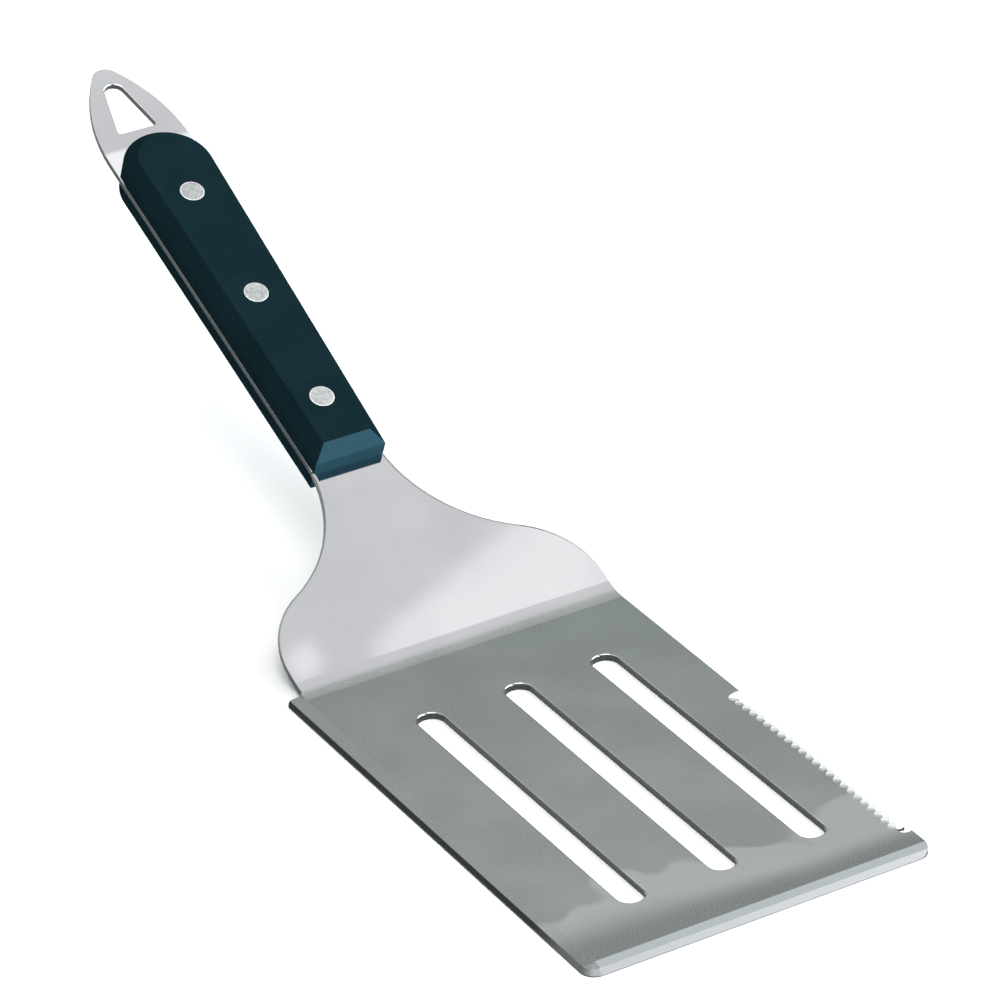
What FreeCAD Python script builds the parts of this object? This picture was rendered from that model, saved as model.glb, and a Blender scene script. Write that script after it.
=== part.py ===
import FreeCAD, Part
import math
import os

from FreeCAD import Vector

# Grill spatula: a one-piece steel blade, neck and full tang, two moulded scales
# and three two-part rivets. Millimetres and degrees.
#
# Everything is first drawn flat: x = 0 is the handle's centre line, y (called u
# along the handle) is 0 on the line where the blade's top meets the neck's top,
# negative on the blade and positive up the handle, and z = 0 is the underside.
# What lies past that line is then turned up about it by NECK_ANGLE, and at the
# end every piece is moved so that the origin is under the middle of the whole.

# Sheet and bend
SHEET_T = 2.1
NECK_ANGLE = 25.0
BEND_R = 18.0

# Blade outline: the left side carries a lip that stands out past the neck
BLADE_LENGTH = 165.5
HALF_WIDTH = 51.8
FRONT_NARROWING = 1.1
LIP_OUT = 5.3
LIP_BACK = 0.6
LIP_CORNER_R = 1.1
FLARE_R = 1.2
FRONT_LEFT_R = 4.5
FRONT_RIGHT_R = 4.5

# Slots, spread in proportion to the blade's width
SLOT_COUNT = 3
SLOT_WIDTH = 8.1
SLOT_SPREAD = 0.55
SLOT_REAR_GAP = 28.9
SLOT_FRONT_GAP = 22.3
SLOT_BREAK = 0.5

# Ground bevels: a shallow facet, then a steep one down to a land
FRONT_LAND = 0.2
SIDE_LAND = 0.5
SHALLOW_DROP = 0.45
FRONT_SHALLOW_RUN = 2.9
FRONT_STEEP_RUN = 1.5
SIDE_SHALLOW_RUN = 3.7
SIDE_STEEP_RUN = 0.9
CORNER_SECTIONS = 5

# Serration along the right side: tilted round-bottomed cuts between two hooks
LOBE_COUNT = 23
LOBE_R = 1.85
LOBE_REACH = 4.0
LOBE_BOW = 0.8
LOBE_SKEW = 20.0
LOBE_DIP = 28.0
START_BACK = 70.2
START_R = 2.3
START_REACH = 5.0
START_TO_FIRST = 3.6
END_FRONT_GAP = 12.5
END_R = 2.1
END_REACH = 3.3
END_DIP = 90.0
LAST_TO_END = 2.2
HOOK_SKEW = 5.0
TOOL_HALF_LENGTH = 20.0

# Neck: a shoulder arc, then a hollow arc that is tangent to the tang's waist
FOOT_U = 8.0
WAIST_HALF = 11.75
NECK_ARC_R = 48.2
SHOULDER_R = 27.6
NECK_ROUND = 1.3
NECK_ROUND_START = 0.1
UNDER_BREAK = 0.3

# Scales, set over the waist
SCALE_LAP = 4.9
SCALE_LENGTH = 134.0
SCALE_HEIGHT = 8.4
SCALE_BEVEL = 4.0
SCALE_SOFTEN = 0.35
NECK_HIDDEN = 1.0

# Tang and hanging end
TANG_END_INSET = 3.6
TANG_REAR_HALF = 14.4
TANG_SIDE_R = 57.0
TANG_NOSE_R = 4.6
HANG_GAP = 6.4
HANG_LENGTH = 19.4
HANG_FRONT_HALF = 6.6
HANG_REAR_R = 3.2
HANG_CORNER_R = 1.1
HANG_BREAK = 0.4

# Rivets: a cap with a barrel from above, a post pressed into it from below
RIVET_COUNT = 3
RIVET_FRONT_INSET = 20.0
RIVET_REAR_INSET = 28.4
HEAD_D = 7.6
HEAD_T = 1.2
CAP_ROOF = 1.2
HEAD_BREAK = 0.15
BARREL_D = 5.0
BARREL_SHORT = 2.0
POST_D = 3.0
POST_SHORT = 1.5
POST_TIP = 0.4
CLEAR_HEAD = 0.02
CLEAR_BARREL = 0.05
CLEAR_POST = 0.02

OVERRUN = 5.0
TALL = 20.0
NEAR = 1e-4

FRONT_Y = -BLADE_LENGTH
LIP_X = -(HALF_WIDTH + LIP_OUT)
TANGENT = BEND_R * math.tan(math.radians(NECK_ANGLE / 2.0))
SLOT_PITCH = SLOT_SPREAD * HALF_WIDTH
SLOT_LENGTH = BLADE_LENGTH - SLOT_REAR_GAP - SLOT_FRONT_GAP
END_BACK = BLADE_LENGTH - END_FRONT_GAP
LOBE_FIRST_BACK = START_BACK + START_TO_FIRST
LOBE_PITCH = (END_BACK - LAST_TO_END - LOBE_FIRST_BACK) / (LOBE_COUNT - 1)
NECK_ACROSS = WAIST_HALF + NECK_ARC_R - HALF_WIDTH + SHOULDER_R
WAIST_U = FOOT_U + math.sqrt((NECK_ARC_R + SHOULDER_R) ** 2 - NECK_ACROSS ** 2)
SCALE_FRONT_U = WAIST_U - SCALE_LAP
SCALE_REAR_U = SCALE_FRONT_U + SCALE_LENGTH
TANG_REAR_U = SCALE_REAR_U - TANG_END_INSET
HANG_FRONT_U = SCALE_REAR_U + HANG_GAP
HANG_REAR_U = HANG_FRONT_U + HANG_LENGTH
RIVET_PITCH = (SCALE_LENGTH - RIVET_FRONT_INSET - RIVET_REAR_INSET) / (RIVET_COUNT - 1)
TAPER = (TANG_REAR_HALF - WAIST_HALF) / (TANG_REAR_U - WAIST_U)
TAPER_NORM = math.hypot(1.0, TAPER)
SIDE_CENTRE_X = TANG_REAR_HALF - TANG_SIDE_R / TAPER_NORM
SIDE_CENTRE_U = TANG_REAR_U + TANG_SIDE_R * TAPER / TAPER_NORM
NOSE_U = SIDE_CENTRE_U + math.sqrt((TANG_SIDE_R - TANG_NOSE_R) ** 2 - SIDE_CENTRE_X ** 2)


def tang_half(u):
    """Half width of the tang and the scales: a straight taper along u."""
    return WAIST_HALF + TAPER * (u - WAIST_U)


def arc_between(centre, radius, start, end):
    """Arc about a centre (x, y) between two angles in degrees from +x."""
    def at(angle):
        a = math.radians(angle)
        return Vector(centre[0] + radius * math.cos(a), centre[1] + radius * math.sin(a), 0)
    return Part.Arc(at(start), at((start + end) / 2.0), at(end)).toShape()


def angle_of(centre, point):
    return math.degrees(math.atan2(point[1] - centre[1], point[0] - centre[0]))


def chained(curves):
    """Closed wire through the given curves, with straight lines across gaps."""
    edges = []
    for i, curve in enumerate(curves):
        edges.append(curve)
        gap_from = curve.Vertexes[-1].Point
        gap_to = curves[(i + 1) % len(curves)].Vertexes[0].Point
        if gap_from.distanceToPoint(gap_to) > NEAR:
            edges.append(Part.makeLine(gap_from, gap_to))
    return Part.Wire(edges)


def prism(wire, low, high):
    solid = Part.Face(wire).extrude(Vector(0, 0, high - low))
    solid.translate(Vector(0, 0, low))
    return solid


def polygon_face(points):
    return Part.Face(Part.makePolygon(points + points[:1]))


def block(x_range, y_range, z_range):
    size = [r[1] - r[0] for r in (x_range, y_range, z_range)]
    return Part.makeBox(*size, Vector(x_range[0], y_range[0], z_range[0]))


def turned_up(shape):
    """A shape drawn flat, turned about the bend line into the neck's plane."""
    placed = shape.copy()
    placed.rotate(Vector(0, 0, SHEET_T), Vector(1, 0, 0), NECK_ANGLE)
    return placed


def edges_at(shape, height, keep):
    """Edges lying at one height whose mid point satisfies keep(point)."""
    found = []
    for edge in shape.Edges:
        box = edge.BoundBox
        middle = edge.valueAt((edge.FirstParameter + edge.LastParameter) / 2.0)
        if abs(box.ZMin - height) < NEAR and abs(box.ZMax - height) < NEAR and keep(middle):
            found.append(edge)
    return found


def blade_outline():
    """Plan outline of the blade, running round from the bend line."""
    right = HALF_WIDTH - FRONT_NARROWING
    front_right = (right - FRONT_RIGHT_R, FRONT_Y + FRONT_RIGHT_R)
    front_left = (LIP_X + FRONT_LEFT_R, FRONT_Y + FRONT_LEFT_R)
    lip_corner = (LIP_X + LIP_CORNER_R, -LIP_BACK - LIP_CORNER_R)
    flare = (-HALF_WIDTH - FLARE_R, -LIP_BACK + FLARE_R)
    return chained([
        Part.makeLine(Vector(-HALF_WIDTH, OVERRUN, 0), Vector(HALF_WIDTH, OVERRUN, 0)),
        Part.makeLine(Vector(HALF_WIDTH, OVERRUN, 0), Vector(HALF_WIDTH, 0, 0)),
        arc_between(front_right, FRONT_RIGHT_R, 0, -90),
        arc_between(front_left, FRONT_LEFT_R, 270, 180),
        arc_between(lip_corner, LIP_CORNER_R, 180, 90),
        arc_between(flare, FLARE_R, 270, 360),
    ])


def wide_sheet():
    """Blade, bend and neck foot as one over-wide bent sheet."""
    wide = (LIP_X - OVERRUN, HALF_WIDTH + OVERRUN)
    blade = block(wide, (FRONT_Y - OVERRUN, -TANGENT), (0, SHEET_T))
    section = polygon_face([
        Vector(wide[0], -TANGENT, 0),
        Vector(wide[1], -TANGENT, 0),
        Vector(wide[1], -TANGENT, SHEET_T),
        Vector(wide[0], -TANGENT, SHEET_T),
    ])
    bend = section.revolve(Vector(0, -TANGENT, SHEET_T + BEND_R), Vector(1, 0, 0), NECK_ANGLE)
    foot = block(wide, (TANGENT, FOOT_U), (0, SHEET_T))
    return blade.fuse([bend, turned_up(foot)])


def trim_walls():
    """Tall walls round the blade and the neck's foot, meeting mid-bend."""
    tall = (-TALL, TALL)
    far = BLADE_LENGTH + TALL
    mid_bend = block((-far, far), (-far, 0), (-far, far))
    mid_bend.rotate(Vector(0, 0, 0), Vector(1, 0, 0), NECK_ANGLE / 2.0)
    mid_bend.translate(Vector(0, 0, SHEET_T))
    blade = prism(blade_outline(), *tall).common(mid_bend)
    foot = block((-HALF_WIDTH, HALF_WIDTH), (-OVERRUN, FOOT_U + OVERRUN), tall)
    return blade.fuse(turned_up(foot).cut(mid_bend))


def slot_tool(index):
    """One full-round slot, standing well above and below the sheet."""
    x = (index - (SLOT_COUNT - 1) / 2.0) * SLOT_PITCH
    reach = SLOT_WIDTH / 2.0
    rear = -SLOT_REAR_GAP - reach
    front = -SLOT_REAR_GAP - SLOT_LENGTH + reach
    outline = chained([
        arc_between((x, rear), reach, 0, 180),
        arc_between((x, front), reach, 180, 360),
    ])
    return prism(outline, -OVERRUN, SHEET_T + OVERRUN)


def slotted(blade):
    for index in range(SLOT_COUNT):
        blade = blade.cut(slot_tool(index))
    side = SLOT_COUNT * SLOT_PITCH / 2.0
    rear = -SLOT_REAR_GAP + SLOT_BREAK
    front = -SLOT_REAR_GAP - SLOT_LENGTH - SLOT_BREAK
    rims = edges_at(blade, SHEET_T, lambda p: front < p.y < rear and abs(p.x) < side)
    return blade.makeFillet(SLOT_BREAK, rims)


def steep_points(run, land):
    """Waste over the steep facet: (distance in from the edge, height)."""
    top = SHEET_T + SLOT_BREAK
    slope = run / (SHEET_T - SHALLOW_DROP - land)
    return [(-OVERRUN, land), (0, land), (slope * (top - land), top), (-OVERRUN, top)]


def shallow_points(steep_run, shallow_run):
    """Waste over the shallow facet, run on past the edge."""
    slope = SHALLOW_DROP / shallow_run
    start = steep_run + shallow_run
    low = SHEET_T - slope * (start + OVERRUN)
    return [(-OVERRUN, low), (start, SHEET_T), (start, SHEET_T + OVERRUN), (-OVERRUN, SHEET_T + OVERRUN)]


def front_waste(points, x_from):
    face = polygon_face([Vector(x_from, FRONT_Y + d, z) for d, z in points])
    return face.extrude(Vector(HALF_WIDTH + OVERRUN - x_from, 0, 0))


def side_waste(points, y_from):
    face = polygon_face([Vector(LIP_X + d, y_from, z) for d, z in points])
    return face.extrude(Vector(0, OVERRUN - y_from, 0))


def corner_waste():
    """The steep facet carried round the rounded front left corner."""
    centre = Vector(LIP_X + FRONT_LEFT_R, FRONT_Y + FRONT_LEFT_R, 0)
    wires = []
    for i in range(CORNER_SECTIONS):
        share = i / (CORNER_SECTIONS - 1.0)
        run = SIDE_STEEP_RUN + share * (FRONT_STEEP_RUN - SIDE_STEEP_RUN)
        land = SIDE_LAND + share * (FRONT_LAND - SIDE_LAND)
        angle = math.pi * (1.0 + share / 2.0)
        out = Vector(math.cos(angle), math.sin(angle), 0)
        corners = [centre + out * (FRONT_LEFT_R - d) + Vector(0, 0, z) for d, z in steep_points(run, land)]
        wires.append(Part.makePolygon(corners + corners[:1]))
    return Part.makeLoft(wires, True)


def ground(blade):
    """Grind both facets along the front edge and along the lip."""
    waste = [
        front_waste(shallow_points(FRONT_STEEP_RUN, FRONT_SHALLOW_RUN), LIP_X - OVERRUN),
        side_waste(shallow_points(SIDE_STEEP_RUN, SIDE_SHALLOW_RUN), FRONT_Y - OVERRUN),
        front_waste(steep_points(FRONT_STEEP_RUN, FRONT_LAND), LIP_X + FRONT_LEFT_R),
        side_waste(steep_points(SIDE_STEEP_RUN, SIDE_LAND), FRONT_Y + FRONT_LEFT_R),
        corner_waste(),
    ]
    for piece in waste:
        blade = blade.cut(piece)
    return blade


def right_edge_x(y):
    return HALF_WIDTH + FRONT_NARROWING * y / (BLADE_LENGTH - FRONT_RIGHT_R)


def lobe_tool(back, radius, reach, skew, dip_angle):
    """Tilted cylinder whose lowest line starts on the top face at the reach."""
    dip = math.radians(dip_angle)
    turn = math.radians(skew)
    along = Vector(math.cos(turn), math.sin(turn), 0)
    axis = along * math.cos(dip) + Vector(0, 0, -math.sin(dip))
    inner = Vector(right_edge_x(-back) - reach, -back, SHEET_T)
    centre = inner + along * (radius / math.sin(dip))
    return Part.makeCylinder(radius, 2 * TOOL_HALF_LENGTH, centre - axis * TOOL_HALF_LENGTH, axis)


def serrated(blade):
    tools = [lobe_tool(START_BACK, START_R, START_REACH, HOOK_SKEW, LOBE_DIP)]
    for i in range(LOBE_COUNT):
        centred = 2.0 * i / (LOBE_COUNT - 1.0) - 1.0
        reach = LOBE_REACH + LOBE_BOW * centred ** 2
        tools.append(lobe_tool(LOBE_FIRST_BACK + i * LOBE_PITCH, LOBE_R, reach, LOBE_SKEW, LOBE_DIP))
    tools.append(lobe_tool(END_BACK, END_R, END_REACH, HOOK_SKEW, END_DIP))
    for tool in tools:
        blade = blade.cut(tool)
    return blade


def mirrored_outline(right_side):
    """Closed wire from a right-hand chain of edges and its mirror image."""
    left_side = [edge.mirror(Vector(0, 0, 0), Vector(1, 0, 0)) for edge in right_side]
    edges = Part.sortEdges(right_side + left_side)[0]
    return Part.Wire(edges)


def handle_steel_outline():
    """Neck, tang and hanging end, drawn flat from the shoulders to the nose."""
    shoulder = (HALF_WIDTH - SHOULDER_R, FOOT_U)
    hollow = (WAIST_HALF + NECK_ARC_R, WAIST_U)
    swap = angle_of(shoulder, hollow)
    side = (SIDE_CENTRE_X, SIDE_CENTRE_U)
    nose = (0.0, NOSE_U)
    side_start = angle_of(side, (TANG_REAR_HALF, TANG_REAR_U))
    side_end = angle_of(side, nose)
    nose_half = arc_between(nose, TANG_NOSE_R, side_end, 90)
    return mirrored_outline([
        Part.makeLine(Vector(0, FOOT_U, 0), Vector(HALF_WIDTH, FOOT_U, 0)),
        arc_between(shoulder, SHOULDER_R, 0, swap),
        arc_between(hollow, NECK_ARC_R, swap + 180, 180),
        Part.makeLine(Vector(WAIST_HALF, WAIST_U, 0), Vector(TANG_REAR_HALF, TANG_REAR_U, 0)),
        arc_between(side, TANG_SIDE_R, side_start, side_end),
        nose_half,
    ])


def hang_hole_tool():
    """Rounded triangle, its narrow end towards the nose."""
    centre_u = HANG_REAR_U - HANG_REAR_R
    corner = (HANG_FRONT_HALF, HANG_FRONT_U)
    away = math.hypot(corner[0], centre_u - corner[1])
    touch = angle_of((0, centre_u), corner) + math.degrees(math.acos(HANG_REAR_R / away))
    tip = arc_between((0, centre_u), HANG_REAR_R, touch, 180 - touch)
    base = Part.makeLine(Vector(-corner[0], corner[1], 0), Vector(corner[0], corner[1], 0))
    solid = prism(chained([tip, base]), -OVERRUN, SHEET_T + OVERRUN)
    posts = [e for e in solid.Edges if abs(e.Vertexes[0].Y - corner[1]) < NEAR and e.BoundBox.ZLength > OVERRUN]
    return solid.makeFillet(HANG_CORNER_R, posts)


def rounded_neck(neck):
    """Round the neck's upper side edges, fading out at the shoulders."""
    document = FreeCAD.newDocument()
    source = document.addObject("Part::Feature", "Neck")
    source.Shape = neck
    rounding = document.addObject("Part::Fillet", "Rounding")
    rounding.Base = source
    entries = []
    for number, edge in enumerate(neck.Edges, 1):
        box = edge.BoundBox
        level = box.ZLength < NEAR and box.YLength > NEAR
        if not level:
            continue
        if box.ZMin < NEAR:
            entries.append((number, UNDER_BREAK, UNDER_BREAK))
            continue
        ends = [NECK_ROUND_START if abs(v.Y - FOOT_U) < NEAR else NECK_ROUND for v in edge.Vertexes]
        entries.append((number, ends[0], ends[1]))
    rounding.Edges = entries
    document.recompute()
    shape = rounding.Shape.copy()
    FreeCAD.closeDocument(document.Name)
    return shape


def in_hang_hole(point):
    along = HANG_FRONT_U - NEAR < point.y < HANG_REAR_U + NEAR
    return along and abs(point.x) < HANG_FRONT_HALF + NEAR


def handle_steel():
    """Neck and tang drawn flat, with their edges rounded and holes cut."""
    whole = prism(handle_steel_outline(), 0, SHEET_T)
    split_u = SCALE_FRONT_U + NECK_HIDDEN
    wide = (-HALF_WIDTH - OVERRUN, HALF_WIDTH + OVERRUN)
    tall = (-OVERRUN, SHEET_T + OVERRUN)
    neck = whole.common(block(wide, (0, split_u), tall))
    tang = whole.common(block(wide, (split_u, NOSE_U + TALL), tall))
    rims = []
    for height in (0, SHEET_T):
        rims += edges_at(tang, height, lambda p: p.y > split_u + NEAR)
    tang = tang.makeFillet(UNDER_BREAK, rims)
    tang = tang.cut(hang_hole_tool())
    hole_rims = []
    for height in (0, SHEET_T):
        hole_rims += edges_at(tang, height, in_hang_hole)
    tang = tang.makeFillet(HANG_BREAK, hole_rims)
    steel = rounded_neck(neck).fuse(tang)
    for u in rivet_stations():
        steel = steel.cut(cylinder_at(u, BARREL_D / 2.0 + CLEAR_BARREL, -OVERRUN, SHEET_T + OVERRUN))
    return steel


def cylinder_at(u, radius, low, high):
    return Part.makeCylinder(radius, high - low, Vector(0, u, low), Vector(0, 0, 1))


def rivet_stations():
    first = SCALE_FRONT_U + RIVET_FRONT_INSET
    return [first + i * RIVET_PITCH for i in range(RIVET_COUNT)]


def blade_and_tang():
    blade = wide_sheet().common(trim_walls()).removeSplitter()
    blade = serrated(ground(slotted(blade)))
    return blade.fuse(turned_up(handle_steel())).removeSplitter()


def scale_outline():
    """Straight front, tapering sides and a full-round rear end."""
    rear_r = tang_half(SCALE_REAR_U) / (TAPER_NORM + TAPER)
    centre = (0.0, SCALE_REAR_U - rear_r)
    lean = math.degrees(math.atan(TAPER))
    front_half = tang_half(SCALE_FRONT_U)
    front = Part.makeLine(Vector(-front_half, SCALE_FRONT_U, 0), Vector(front_half, SCALE_FRONT_U, 0))
    return chained([front, arc_between(centre, rear_r, -lean, 180 + lean)])


def flat_upper_scale():
    """Upper scale drawn flat: bevelled block with its rivet holes."""
    top = SHEET_T + SCALE_HEIGHT
    scale = prism(scale_outline(), SHEET_T, top)
    scale = scale.makeChamfer(SCALE_BEVEL, edges_at(scale, top, lambda p: True))
    soft = [e for e in scale.Edges if e.BoundBox.ZMax > SHEET_T + NEAR]
    scale = scale.makeFillet(SCALE_SOFTEN, soft)
    for u in rivet_stations():
        scale = scale.cut(cylinder_at(u, BARREL_D / 2.0 + CLEAR_BARREL, 0, top + OVERRUN))
        scale = scale.cut(cylinder_at(u, HEAD_D / 2.0 + CLEAR_HEAD, top - HEAD_T, top + OVERRUN))
    return scale


def underneath(shape):
    """Mirror a flat-drawn shape through the middle of the sheet."""
    return shape.mirror(Vector(0, 0, SHEET_T / 2.0), Vector(0, 0, 1))


def rivet_head(u):
    """Head disc at the top, its rim broken."""
    top = SHEET_T + SCALE_HEIGHT
    disc = cylinder_at(u, HEAD_D / 2.0, top - HEAD_T, top)
    return disc.makeFillet(HEAD_BREAK, edges_at(disc, top, lambda p: True))


def bore_top():
    return SHEET_T + SCALE_HEIGHT - HEAD_T - CAP_ROOF


def rivet_cap(u):
    """Upper half: a head with a hollow barrel that passes through the tang."""
    low = -SCALE_HEIGHT + HEAD_T + BARREL_SHORT
    barrel = cylinder_at(u, BARREL_D / 2.0, low, SHEET_T + SCALE_HEIGHT - HEAD_T)
    solid = rivet_head(u).fuse(barrel)
    return solid.cut(cylinder_at(u, POST_D / 2.0 + CLEAR_POST, low - OVERRUN, bore_top())).removeSplitter()


def rivet_post(u):
    """Lower half: the same head below, with a post up inside the barrel."""
    high = bore_top() - POST_SHORT
    post = cylinder_at(u, POST_D / 2.0, -SCALE_HEIGHT + HEAD_T, high)
    post = post.makeChamfer(POST_TIP, edges_at(post, high, lambda p: True))
    return underneath(rivet_head(u)).fuse(post).removeSplitter()


def to_base(shape):
    """Move a finished piece so the origin is under the middle of the whole."""
    angle = math.radians(NECK_ANGLE)
    rear_y = (NOSE_U + TANG_NOSE_R) * math.cos(angle) + SHEET_T * math.sin(angle)
    moved = shape.copy()
    moved.translate(Vector(-(LIP_X + HALF_WIDTH) / 2.0, -(FRONT_Y + rear_y) / 2.0, 0))
    return moved


def pieces():
    upper = flat_upper_scale()
    nodes = {
        "blade_and_tang": blade_and_tang(),
        "upper_scale": turned_up(upper),
        "lower_scale": turned_up(underneath(upper)),
    }
    for number, u in enumerate(rivet_stations(), 1):
        nodes["rivet_cap_%d" % number] = turned_up(rivet_cap(u))
        nodes["rivet_post_%d" % number] = turned_up(rivet_post(u))
    return nodes


os.makedirs("parts", exist_ok=True)
for name, shape in pieces().items():
    to_base(shape).exportStep("parts/" + name + ".step")
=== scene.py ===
import math

import bpy
import numpy as np
from mathutils import Matrix, Vector


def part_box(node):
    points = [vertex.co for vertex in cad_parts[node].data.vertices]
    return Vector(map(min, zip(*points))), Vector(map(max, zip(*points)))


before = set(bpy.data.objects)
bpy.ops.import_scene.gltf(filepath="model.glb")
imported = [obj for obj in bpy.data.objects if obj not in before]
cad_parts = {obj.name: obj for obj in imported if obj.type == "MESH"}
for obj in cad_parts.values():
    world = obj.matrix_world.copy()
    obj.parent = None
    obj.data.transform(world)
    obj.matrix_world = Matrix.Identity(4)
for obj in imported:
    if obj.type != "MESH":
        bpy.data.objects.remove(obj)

bl_info = {
    "name": "Grill Spatula",
    "version": (1, 0, 0),
    "blender": (4, 5, 0),
    "location": "3D View > Sidebar > Spatula",
    "description": "Metal, plastic and rivet finishes for a grill spatula, and a plain studio around it",
    "category": "Object",
}

MM = 0.001

BLACK = (0.0, 0.0, 0.0)

# The tool's own measures that the finishes follow
BOX_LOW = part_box("blade_and_tang")[0]
BLADE_LENGTH = 165.5 * MM
SHEET = 2.1 * MM
NECK_ANGLE = math.radians(25.0)
MIDDLE_X = 2.65 * MM
SERRATION_X = 49.0 * MM
SERRATION_BACK = 62.0 * MM
FRONT_BEVEL = 4.4 * MM
LIP_BEVEL = 4.6 * MM
LIP_FACET = 2.0 * MM
LIP_FADE = 18.0 * MM
FIRST_RIVET_U = 89.94 * MM
RIVET_PITCH = 42.8 * MM
RIVET_RIM_R = 3.35 * MM
BEND_Y = BOX_LOW.y + BLADE_LENGTH
GRIP_START = 62.0 * MM
GRIP_END = 184.0 * MM

# Widths over which one finish gives way to the next
CRISP = 0.1 * MM
SOFT = 0.2 * MM

# Painted light on the blade: bright patches painted in as reflections, and a dark band of painted shade near
# its front edge
REFLECTION_PATCH_REACH = 27.0 * MM
REFLECTION_PATCH_WAVE = 60.0 * MM
SHADE_BAND_REACH = 14.0 * MM
SHADE_BAND_GROWTH = 12.0 * MM


class Field:
    """A socket whose arithmetic adds the Math nodes that work it out."""

    def __init__(self, tree, socket):
        self.tree = tree
        self.socket = socket

    def _with(self, operation, first, second):
        return self.tree.node("ShaderNodeMath", {"operation": operation}, {0: first, 1: second})

    def __add__(self, other):
        return self._with("ADD", self, other)

    def __radd__(self, other):
        return self._with("ADD", other, self)

    def __sub__(self, other):
        return self._with("SUBTRACT", self, other)

    def __rsub__(self, other):
        return self._with("SUBTRACT", other, self)

    def __mul__(self, other):
        return self._with("MULTIPLY", self, other)

    def __rmul__(self, other):
        return self._with("MULTIPLY", other, self)

    def __truediv__(self, other):
        return self._with("DIVIDE", self, other)

    def __mod__(self, other):
        return self._with("FLOORED_MODULO", self, other)

    def __pow__(self, other):
        return self._with("POWER", self, other)

    def __abs__(self):
        return self.tree.node("ShaderNodeMath", {"operation": "ABSOLUTE"}, {0: self})

    def __and__(self, other):
        return self._with("MINIMUM", self, other)

    def __or__(self, other):
        return self._with("MAXIMUM", self, other)

    def rises(self, start, end):
        """0 before start, 1 past end, and smooth between them."""
        return self.tree.node(
            "ShaderNodeMapRange",
            {"interpolation_type": "SMOOTHSTEP"},
            {"Value": self, "From Min": start, "From Max": end},
        )

    def falls(self, start, end):
        """1 before start, 0 past end, and smooth between them."""
        return self.tree.node(
            "ShaderNodeMapRange",
            {"interpolation_type": "SMOOTHSTEP"},
            {"Value": self, "From Min": start, "From Max": end, "To Min": 1.0, "To Max": 0.0},
        )


class Tree:
    """A shader tree whose nodes all come from one method."""

    def __init__(self, owner):
        owner.use_nodes = True
        self.owner = owner
        self.nodes = owner.node_tree.nodes
        self.links = owner.node_tree.links
        self.nodes.clear()

    def node(self, kind, settings=None, sockets=None, output=0):
        """Add a node: its settings first, then the values or links of its sockets."""
        made = self.nodes.new(kind)
        for name, value in (settings or {}).items():
            if name == "stops":
                self._set_stops(made.color_ramp, value)
            else:
                setattr(made, name, value)
        for key, value in (sockets or {}).items():
            if isinstance(value, Field):
                self.links.new(value.socket, made.inputs[key])
            else:
                made.inputs[key].default_value = value
        return Field(self, made.outputs[output] if made.outputs else None)

    def _set_stops(self, ramp, stops):
        while len(ramp.elements) < len(stops):
            ramp.elements.new(1.0)
        for element, (position, colour) in zip(ramp.elements, stops):
            element.position = position
            element.color = (*colour, 1.0)

    def place(self):
        """Object coordinates, and their three parts."""
        where = self.node("ShaderNodeTexCoord", output=3)
        return where, self.parts(where)

    def parts(self, vector):
        return [self.node("ShaderNodeSeparateXYZ", {}, {0: vector}, axis) for axis in range(3)]

    def facing(self):
        """The three parts of the surface's own normal."""
        return self.parts(self.node("ShaderNodeNewGeometry", output=1))

    def noise(self, where, size, detail=2.0, rough=0.5, stretch=(1.0, 1.0, 1.0)):
        """Noise whose lumps are about size metres, stretched along the axes."""
        spread = self.node(
            "ShaderNodeMapping",
            {"vector_type": "POINT"},
            {"Vector": where, "Scale": [1.0 / (size * s) for s in stretch]},
        )
        return self.node(
            "ShaderNodeTexNoise",
            {"noise_dimensions": "3D"},
            {"Vector": spread, "Scale": 1.0, "Detail": detail, "Roughness": rough},
        )

    def blend(self, share, first, second):
        """Colour first where share is 0, second where it is 1."""
        return self.node(
            "ShaderNodeMix",
            {"data_type": "RGBA", "blend_type": "MIX"},
            {0: share, 6: self._rgba(first), 7: self._rgba(second)},
            2,
        )

    def pick(self, share, first, second):
        """Number first where share is 0, second where it is 1."""
        return self.node("ShaderNodeMix", {"data_type": "FLOAT"}, {0: share, 2: first, 3: second})

    def _rgba(self, colour):
        return colour if isinstance(colour, Field) else (*tuple(colour)[:3], 1.0)

    def bump(self, height, depth, strength=1.0, normal=None):
        """Bump of depth metres over a height that runs from 0 to 1."""
        sockets = {"Height": height, "Distance": depth, "Strength": strength}
        if normal is not None:
            sockets["Normal"] = normal
        return self.node("ShaderNodeBump", {}, sockets)

    def finish(self, sockets):
        shader = self.node("ShaderNodeBsdfPrincipled", {}, sockets)
        self.node("ShaderNodeOutputMaterial", {}, {"Surface": shader})


def neck_level(ny, nz):
    """How squarely a normal faces out of the neck's plane: 1 or -1 flat on it."""
    return nz * math.cos(NECK_ANGLE) - ny * math.sin(NECK_ANGLE)


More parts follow.
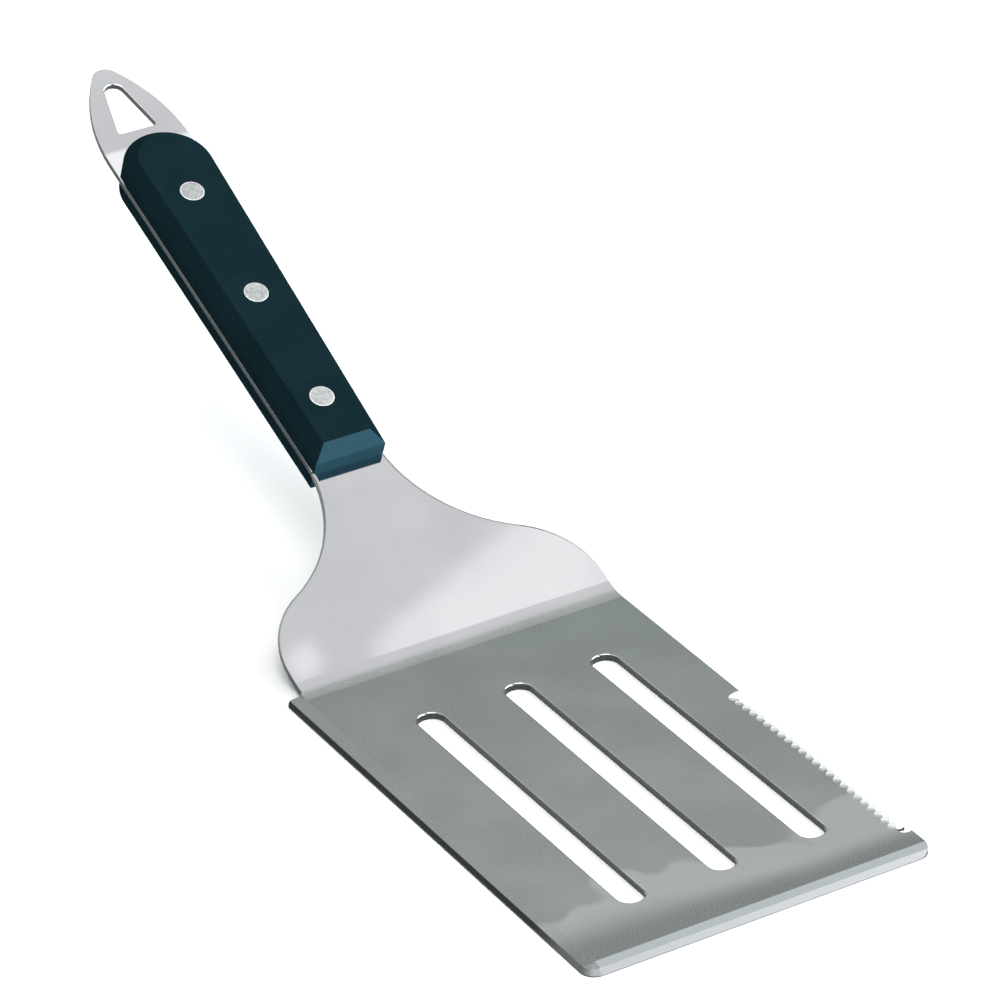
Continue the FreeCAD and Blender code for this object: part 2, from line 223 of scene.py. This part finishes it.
def steel_material(look):
    """Polished sheet: smooth neck, grained blade, ground edges and dull sheared walls, with painted
    reflections, highlights and shade on the blade, its edges and the tang.
    """
    t = Tree(new_material("polished_steel"))
    where, (x, y, z) = t.place()
    _, ny, nz = t.facing()
    back = BEND_Y - y
    ahead = y - BOX_LOW.y
    inward = x - BOX_LOW.x
    on_blade = back.rises(-1 * MM, 1 * MM)
    level = t.pick(on_blade, abs(neck_level(ny, nz)), abs(nz))
    wall = level.falls(0.25, 0.4)

    drift = t.noise(where, 30 * MM, 2.0, 0.5)
    wave = t.noise(where, 22 * MM, 1.5, 0.5, (1.0, 1.6, 1.0))
    grain = t.noise(where, 0.42 * MM, 2.0, 0.6)
    scratch = t.noise(where, 0.28 * MM, 2.0, 0.7)

    # Painted reflection: bright patches with a wavy back edge near the front of the blade
    wavy_line = ahead + (wave - 0.5) * REFLECTION_PATCH_WAVE
    reflection_patch = wavy_line.falls(REFLECTION_PATCH_REACH, REFLECTION_PATCH_REACH + 4 * MM) & ahead.rises(7 * MM, 17 * MM)
    # Painted shade: a dark band behind the front bevel, wider towards the left
    shade_band_reach = SHADE_BAND_REACH + x.falls(-40 * MM, 30 * MM) * SHADE_BAND_GROWTH
    painted_shade_band = (ahead / shade_band_reach).falls(0.35, 1.0) & ahead.rises(FRONT_BEVEL - SOFT, FRONT_BEVEL)
    blade = t.blend(drift.rises(0.3, 0.7), look.blade_shade, look.blade_colour)
    blade = t.blend(reflection_patch * look.reflection_patch_share, blade, look.reflection_patch_colour)
    blade = t.blend(painted_shade_band * look.shade_band_share, blade, look.shade_band_colour)
    blade = t.blend(grain.rises(0.35, 0.7) * look.grain_share, blade, look.grain_colour)

    neck = t.blend(drift.rises(0.35, 0.7), look.neck_shade, look.neck_colour)
    polish = t.blend(on_blade, neck, blade)

    # Painted shade: the lip's bevel is darkened towards the shade band's colour
    lip = inward.falls(LIP_BEVEL - CRISP, LIP_BEVEL) & back.rises(0.4 * MM, 0.6 * MM)
    polish = t.blend(lip * look.lip_shade_share, polish, look.shade_band_colour)
    # Painted reflection: the shallow front bevel is given a paler, bluer tone
    bevel = ahead.falls(FRONT_BEVEL - CRISP, FRONT_BEVEL) & inward.rises(LIP_BEVEL - CRISP, LIP_BEVEL)
    polish = t.blend(bevel * look.bevel_reflection_share, polish, look.bevel_reflection_colour)

    steep = nz.falls(0.85, 0.92) & nz.rises(0.3, 0.45) & on_blade
    front = steep & ahead.falls(FRONT_BEVEL, FRONT_BEVEL + SOFT)
    left = steep & inward.falls(LIP_FACET, LIP_FACET + SOFT)
    # Painted light along the lip's steep facet: near the front it takes the ground steel's tone as a painted
    # glint, further back it gets painted shade
    left_glint = left & ahead.falls(look.lip_glint_end, look.lip_glint_end + LIP_FADE)
    facets = front | left_glint
    serration = x.rises(SERRATION_X - SOFT, SERRATION_X) & back.rises(SERRATION_BACK, SERRATION_BACK + 1 * MM)
    teeth = nz.falls(0.93, 0.97) & nz.rises(0.02, 0.1) & serration
    ground = facets | teeth
    ground_colour = t.blend(scratch.rises(0.3, 0.7), look.ground_shade, look.ground_colour)
    # Painted shade: the steep ground facets are a darker copy of the ground steel, toning down their
    # reflection
    ground_colour = t.blend(facets * look.facet_shade_share, ground_colour, look.facet_shade_colour)
    dull = t.blend(scratch.rises(0.3, 0.7), look.wall_shade, look.wall_colour)
    beyond = y - BEND_Y
    gripped = beyond.rises(GRIP_START, GRIP_START + 2 * MM) & beyond.falls(GRIP_END, GRIP_END + 2 * MM)
    # Painted shade: the sheared walls between the scales are darkened where the scales hem them in
    dull = t.blend(gripped * 0.8, dull, look.painted_shade_colour)
    # Painted shade on the lip's steep facet behind its painted glint
    polish = t.blend(left * look.lip_painted_shade, polish, look.painted_shade_colour)
    # Painted highlight: a bright line on the tang's edges between the scales
    polish = t.blend(gripped, polish, look.tang_highlight)

    colour = t.blend(ground, t.blend(wall, polish, dull), ground_colour)
    rough = t.pick(on_blade, look.neck_rough + drift * 0.03, look.blade_rough + (grain - 0.5) * 0.05)
    rough = t.pick(ground | wall, rough, look.cut_rough + (scratch - 0.5) * 0.15)
    dents = t.bump(drift, 0.05 * MM, on_blade * 0.6 + 0.2)
    pits = t.bump(scratch, 0.01 * MM, (ground | wall) * 0.8 + on_blade * 0.04, dents)
    t.finish({"Base Color": colour, "Metallic": 1.0, "Roughness": rough, "Normal": pits})
    return t.owner


def plastic_material(look):
    """Moulded handle plastic: satin, finely textured, with pale specks, painted shade on the long bevels and
    a painted highlight on the front end.
    """
    t = Tree(new_material("handle_plastic"))
    where, _ = t.place()
    nx, ny, nz = t.facing()
    level = neck_level(ny, nz)
    cloud = t.noise(where, 14 * MM, 3.0)
    pores = t.noise(where, 0.45 * MM, 2.0, 0.6)
    specks = t.noise(where, 0.8 * MM, 1.0, 0.4)
    colour = t.blend(cloud.rises(0.3, 0.7), look.plastic_colour, look.plastic_shade)
    # Painted shade: the long side bevels are darkened towards black
    shaded_bevel = abs(nx).rises(0.3, 0.6) & level.rises(0.3, 0.5)
    forward = ny * -math.cos(NECK_ANGLE) - nz * math.sin(NECK_ANGLE)
    # Painted highlight: faces turned towards the handle's front end are painted paler and bluer
    front_highlight = forward.rises(0.3, 0.6)
    colour = t.blend(shaded_bevel * look.plastic_bevel_shade, colour, BLACK)
    colour = t.blend(front_highlight * look.front_highlight_share, colour, look.plastic_front_highlight)
    colour = t.blend(specks.rises(0.68, 0.76) * 0.5, colour, look.plastic_fleck)
    rough = look.plastic_rough + (cloud - 0.5) * 0.12 + (pores - 0.5) * 0.16
    t.finish({
        "Base Color": colour,
        "Roughness": rough,
        "Specular IOR Level": look.plastic_sheen,
        "Normal": t.bump(pores, 0.02 * MM),
    })
    return t.owner


def rivet_material(look):
    """Pressed rivet metal: mottled, with a painted highlight on the rim worked out from each rivet's axis."""
    t = Tree(new_material("rivet_metal"))
    where, (x, y, z) = t.place()
    u = (y - BEND_Y) * math.cos(NECK_ANGLE) + (z - SHEET) * math.sin(NECK_ANGLE)
    along = (u - (FIRST_RIVET_U - RIVET_PITCH / 2)) % RIVET_PITCH - RIVET_PITCH / 2
    off_axis = ((x - MIDDLE_X) ** 2.0 + along ** 2.0) ** 0.5
    mottle = t.noise(where, 1.1 * MM, 3.0, 0.65)
    fine = t.noise(where, 0.35 * MM, 2.0)
    colour = t.blend(mottle.rises(0.35, 0.65), look.rivet_shade, look.rivet_colour)
    # Painted highlight: a lighter ring around each rivet head
    colour = t.blend(off_axis.rises(RIVET_RIM_R, RIVET_RIM_R + CRISP) * 0.7, colour, look.rivet_rim_highlight)
    t.finish({
        "Base Color": colour,
        "Metallic": 1.0,
        "Roughness": look.rivet_rough + (mottle - 0.5) * 0.2,
        "Normal": t.bump(fine, 0.008 * MM),
    })
    return t.owner


def floor_material(look):
    """Matt, nearly white floor with a very slow change of tone."""
    t = Tree(new_material("pale_floor"))
    where, _ = t.place()
    drift = t.noise(where, 300 * MM, 2.0)
    t.finish({
        "Base Color": t.blend(drift, look.floor_colour, look.floor_shade),
        "Roughness": 0.6,
        "Specular IOR Level": 0.1,
    })
    return t.owner


def new_material(name):
    return bpy.data.materials.new(name)


def dress(nodes, material):
    """Put one material in every slot of the named CAD nodes."""
    for name in nodes:
        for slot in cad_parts[name].material_slots:
            slot.material = material


def floor_mesh(half):
    """A square of side 2 x half at the height of the blade's underside."""
    corners = np.array([(-1, -1, 0), (1, -1, 0), (1, 1, 0), (-1, 1, 0)], float) * half
    mesh = bpy.data.meshes.new("floor")
    mesh.from_pydata(corners.tolist(), [], [(0, 1, 2, 3)])
    return mesh


def studio_world(look):
    """Dim low down and bright overhead, with a step between walls and ceiling."""
    world = bpy.data.worlds.new("studio")
    bpy.context.scene.world = world
    t = Tree(world)
    height = t.parts(t.node("ShaderNodeTexCoord", output=0))[2]
    ramp = t.node("ShaderNodeValToRGB", {"stops": [
        (0.00, (0.24, 0.25, 0.25)),
        (0.28, (0.18, 0.20, 0.20)),
        (0.44, (0.31, 0.37, 0.35)),
        (0.500, (0.39, 0.455, 0.435)),
        (0.535, (0.62, 0.66, 0.65)),
        (0.70, (0.76, 0.79, 0.80)),
        (0.77, (0.85, 0.87, 0.88)),
        (0.90, (0.94, 0.95, 0.97)),
        (1.00, (1.0, 1.0, 1.0)),
    ]}, {0: height})
    background = t.node("ShaderNodeBackground", {}, {0: ramp, 1: look.world_strength})
    t.node("ShaderNodeOutputWorld", {}, {"Surface": background})


def aimed(position, target, roll=0.0):
    """Matrix at position that looks along -Z at target, rolled about its view."""
    gaze = Vector(target) - Vector(position)
    turn = gaze.to_track_quat("-Z", "Y").to_matrix().to_4x4()
    return Matrix.Translation(position) @ turn @ Matrix.Rotation(roll, 4, "Z")


def softbox(name, position, size, power, colour=(1.0, 1.0, 1.0), roll=0.0):
    """Square light that faces the tool."""
    light = bpy.data.lights.new(name, "AREA")
    light.shape = "SQUARE"
    light.size = size
    light.energy = power
    light.color = colour
    lamp = bpy.data.objects.new(name, light)
    bpy.context.scene.collection.objects.link(lamp)
    lamp.matrix_world = aimed(position, (0, 0, 0), roll)


def colour_property(name, description, value):
    return bpy.props.FloatVectorProperty(
        name=name, description=description, subtype="COLOR", size=3, min=0.0, max=1.0, default=value)


def share_property(name, description, value):
    return bpy.props.FloatProperty(
        name=name, description=description, subtype="FACTOR", min=0.0, max=1.0, default=value)


def length_property(name, description, value):
    return bpy.props.FloatProperty(
        name=name, description=description, unit="LENGTH", min=0.0, default=value)


def power_property(name, description, value):
    return bpy.props.FloatProperty(
        name=name, description=description, unit="POWER", min=0.0, default=value)


def turn_property(name, description, value):
    return bpy.props.FloatProperty(
        name=name, description=description, unit="ROTATION", default=value)


def place_property(name, description, value):
    return bpy.props.FloatVectorProperty(
        name=name, description=description, subtype="XYZ_LENGTH", unit="LENGTH", size=3, default=value)


class SpatulaLook(bpy.types.PropertyGroup):
    """Colours and roughness of the three finishes."""

    blade_colour: colour_property("Blade", "Lighter polish on the blade", (0.485, 0.49, 0.485))
    blade_shade: colour_property("Blade Shade", "Darker polish on the blade", (0.41, 0.415, 0.41))
    # Painted reflection: the blade's bright patches
    reflection_patch_colour: colour_property("Blade Patch", "Brighter patches towards the front", (0.68, 0.68, 0.675))
    reflection_patch_share: share_property("Blade Patch Strength", "How far the bright patches show", 0.9)
    # Painted shade: the dark band behind the front bevel, also used on the lip's bevel
    shade_band_colour: colour_property("Front Band", "Darker band behind the front bevel", (0.235, 0.25, 0.248))
    shade_band_share: share_property("Front Band Strength", "How far the dark band shows", 0.8)
    # Painted reflection on the shallow front bevel
    bevel_reflection_colour: colour_property("Front Bevel", "Polish on the shallow front bevel", (0.62, 0.67, 0.68))
    bevel_reflection_share: share_property("Front Bevel Strength", "How far the front bevel's tone shows", 0.7)
    # Painted shade on the lip's bevel
    lip_shade_share: share_property("Lip Shade Strength", "How far the lip's bevel is toned down", 0.3)
    # Painted glint: how far back the lip's steep facet keeps the ground steel's brighter tone
    lip_glint_end: length_property("Lip Bright End", "How far back the lip's grinding stays bright", 0.010)
    grain_colour: colour_property("Grain", "Light grain on the blade", (0.68, 0.69, 0.685))
    grain_share: share_property("Grain Strength", "How far the grain shows", 0.42)
    neck_colour: colour_property("Neck", "Lighter polish on the neck and loop", (0.64, 0.64, 0.645))
    neck_shade: colour_property("Neck Shade", "Darker polish on the neck and loop", (0.59, 0.59, 0.60))
    ground_colour: colour_property("Ground Teeth", "Freshly ground teeth", (0.62, 0.63, 0.645))
    ground_shade: colour_property("Ground Teeth Shade", "Grinding marks on the teeth", (0.50, 0.51, 0.52))
    # Painted shade: darker copy of the ground steel for the steep facets
    facet_shade_colour: colour_property("Ground Facet", "Steep ground facets", (0.24, 0.243, 0.25))
    facet_shade_share: share_property("Ground Facet Strength", "How far the facets differ from the teeth", 0.85)
    wall_colour: colour_property("Sheared Wall", "Sheared walls", (0.10, 0.105, 0.105))
    wall_shade: colour_property("Sheared Wall Shade", "Darker marks on sheared walls", (0.035, 0.038, 0.038))
    # Painted shade on the steel between the scales and on the lip's steep facet
    painted_shade_colour: colour_property("Shadowed Steel", "Steel in the handle and on the lip", (0.02, 0.024, 0.024))
    # Painted highlight along the tang's side
    tang_highlight: colour_property("Tang Line", "Bright line along the tang's side", (0.93, 0.94, 0.95))
    # Painted shade on the lip's steep facet
    lip_painted_shade: share_property("Lip Edge Shade", "How far the lip's steep edge is darker", 0.6)
    blade_rough: share_property("Blade Roughness", "Roughness of the blade's polish", 0.14)
    neck_rough: share_property("Neck Roughness", "Roughness of the neck's polish", 0.05)
    cut_rough: share_property("Cut Roughness", "Roughness of ground and sheared steel", 0.42)
    plastic_colour: colour_property("Plastic", "Handle plastic", (0.0052, 0.0145, 0.0185))
    plastic_shade: colour_property("Plastic Shade", "Slow variation in the plastic", (0.0062, 0.0175, 0.0225))
    plastic_fleck: colour_property("Plastic Fleck", "Lighter specks in the plastic", (0.012, 0.034, 0.042))
    # Painted shade on the handle's long bevels
    plastic_bevel_shade: share_property("Plastic Bevel Shade", "How far the long bevels are darker", 0.1)
    # Painted highlight on the handle's front end
    plastic_front_highlight: colour_property("Plastic Front", "Paler front end of the handle", (0.028, 0.075, 0.100))
    front_highlight_share: share_property("Plastic Front Strength", "How far the paler front end shows", 0.9)
    plastic_rough: share_property("Plastic Roughness", "Roughness of the handle", 0.50)
    plastic_sheen: share_property("Plastic Gloss Level", "Strength of the handle's gloss", 0.0)
    rivet_colour: colour_property("Rivet", "Bright parts of the rivet heads", (0.47, 0.48, 0.485))
    rivet_shade: colour_property("Rivet Shade", "Dull parts of the rivet heads", (0.36, 0.37, 0.375))
    # Painted highlight on the rivet rims
    rivet_rim_highlight: colour_property("Rivet Rim", "Rim of the rivet heads", (0.72, 0.73, 0.73))
    rivet_rough: share_property("Rivet Roughness", "Roughness of the rivet heads", 0.38)


class SpatulaStage(bpy.types.PropertyGroup):
    """Floor, light and camera."""

    floor_colour: colour_property("Floor", "Floor colour", (0.90, 0.90, 0.90))
    floor_shade: colour_property("Floor Shade", "Slow variation in the floor", (0.88, 0.88, 0.88))
    floor_half: length_property("Floor Half Width", "Half the side of the floor", 6.0)
    world_strength: bpy.props.FloatProperty(
        name="World", description="Brightness of the surroundings", min=0.0, default=1.0)
    key_power: power_property("Key Light", "Power of the broad softbox", 56.0)
    key_place: place_property("Key Position", "Where the broad softbox hangs", (1.9, -0.7, 1.35))
    key_size: length_property("Key Size", "Side of the broad softbox", 2.2)
    top_power: power_property("Top Light", "Power of the overhead softbox", 33.0)
    top_place: place_property("Top Position", "Where the overhead softbox hangs", (-0.3, -0.6, 2.4))
    top_size: length_property("Top Size", "Side of the overhead softbox", 1.4)
    front_power: power_property("Front Light", "Power of the low front softbox", 9.0)
    front_place: place_property("Front Position", "Where the low front softbox stands", (0.65, -1.35, 0.25))
    front_size: length_property("Front Size", "Side of the low front softbox", 0.5)
    front_tint: colour_property("Front Tint", "Colour of the low front softbox", (0.55, 0.8, 1.0))
    card_power: power_property("Card", "Power of the small card that the neck mirrors", 0.011)
    card_place: place_property("Card Position", "Where the small card stands", (0.2864, 0.0168, 0.5546))
    card_size: length_property("Card Size", "Side of the small card", 0.105)
    card_roll: turn_property("Card Roll", "Turn of the small card", -1.29)
    spot_power: power_property("Spot", "Power of the smallest lamp", 0.0002)
    spot_place: place_property("Spot Position", "Where the smallest lamp stands", (0.1866, 0.0477, 0.5569))
    spot_size: length_property("Spot Size", "Side of the smallest lamp", 0.012)
    camera_place: place_property("Camera", "Where the camera stands", (-0.62047, -1.17723, 0.77233))
    camera_target: place_property("Camera Target", "What the camera looks at", (-0.00584, -0.0672, 0.07051))
    camera_roll: turn_property("Camera Roll", "The camera's turn about its view", -0.0465)
    camera_lens: bpy.props.FloatProperty(
        name="Lens", description="Focal length", subtype="DISTANCE_CAMERA", default=190.8)


class SPATULA_OT_steel(bpy.types.Operator):
    """Finish the blade, neck and tang"""

    bl_idname = "spatula.steel"
    bl_label = "Finish Steel"

    def execute(self, context):
        dress(["blade_and_tang"], steel_material(context.scene.spatula_look))
        return {"FINISHED"}


class SPATULA_OT_scales(bpy.types.Operator):
    """Finish the two handle scales"""

    bl_idname = "spatula.scales"
    bl_label = "Finish Scales"

    def execute(self, context):
        dress(["upper_scale", "lower_scale"], plastic_material(context.scene.spatula_look))
        return {"FINISHED"}


class SPATULA_OT_rivets(bpy.types.Operator):
    """Finish the rivets"""

    bl_idname = "spatula.rivets"
    bl_label = "Finish Rivets"

    def execute(self, context):
        names = [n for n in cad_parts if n.startswith("rivet_")]
        dress(names, rivet_material(context.scene.spatula_look))
        return {"FINISHED"}


class SPATULA_OT_stage(bpy.types.Operator):
    """Lay the floor, hang the softboxes and set up the camera"""

    bl_idname = "spatula.stage"
    bl_label = "Build Stage"

    def execute(self, context):
        look = context.scene.spatula_stage
        mesh = floor_mesh(look.floor_half)
        mesh.materials.append(floor_material(look))
        floor = bpy.data.objects.new("floor", mesh)
        context.scene.collection.objects.link(floor)
        studio_world(look)
        softbox("key_softbox", look.key_place, look.key_size, look.key_power)
        softbox("top_softbox", look.top_place, look.top_size, look.top_power)
        softbox("front_softbox", look.front_place, look.front_size, look.front_power, look.front_tint)
        softbox("card", look.card_place, look.card_size, look.card_power, roll=look.card_roll)
        softbox("spot", look.spot_place, look.spot_size, look.spot_power)
        camera = bpy.data.cameras.new("camera")
        camera.lens = look.camera_lens
        eye = bpy.data.objects.new("camera", camera)
        context.scene.collection.objects.link(eye)
        eye.matrix_world = aimed(look.camera_place, look.camera_target, look.camera_roll)
        context.scene.camera = eye
        context.scene.view_settings.view_transform = "Standard"
        return {"FINISHED"}


class SPATULA_PT_panel(bpy.types.Panel):
    """Sidebar panel that lists the finishing steps"""

    bl_label = "Grill Spatula"
    bl_idname = "SPATULA_PT_panel"
    bl_space_type = "VIEW_3D"
    bl_region_type = "UI"
    bl_category = "Spatula"

    def draw(self, context):
        for step in STEPS:
            self.layout.operator(step.bl_idname)


STEPS = (SPATULA_OT_steel, SPATULA_OT_scales, SPATULA_OT_rivets, SPATULA_OT_stage)
CLASSES = (SpatulaLook, SpatulaStage, *STEPS, SPATULA_PT_panel)


def register():
    for cls in CLASSES:
        bpy.utils.register_class(cls)
    bpy.types.Scene.spatula_look = bpy.props.PointerProperty(type=SpatulaLook)
    bpy.types.Scene.spatula_stage = bpy.props.PointerProperty(type=SpatulaStage)


def unregister():
    del bpy.types.Scene.spatula_stage
    del bpy.types.Scene.spatula_look
    for cls in reversed(CLASSES):
        bpy.utils.unregister_class(cls)


def main():
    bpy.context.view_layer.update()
    register()
    bpy.ops.spatula.steel()
    bpy.ops.spatula.scales()
    bpy.ops.spatula.rivets()
    bpy.ops.spatula.stage()


if __name__ == "__main__":
    main()
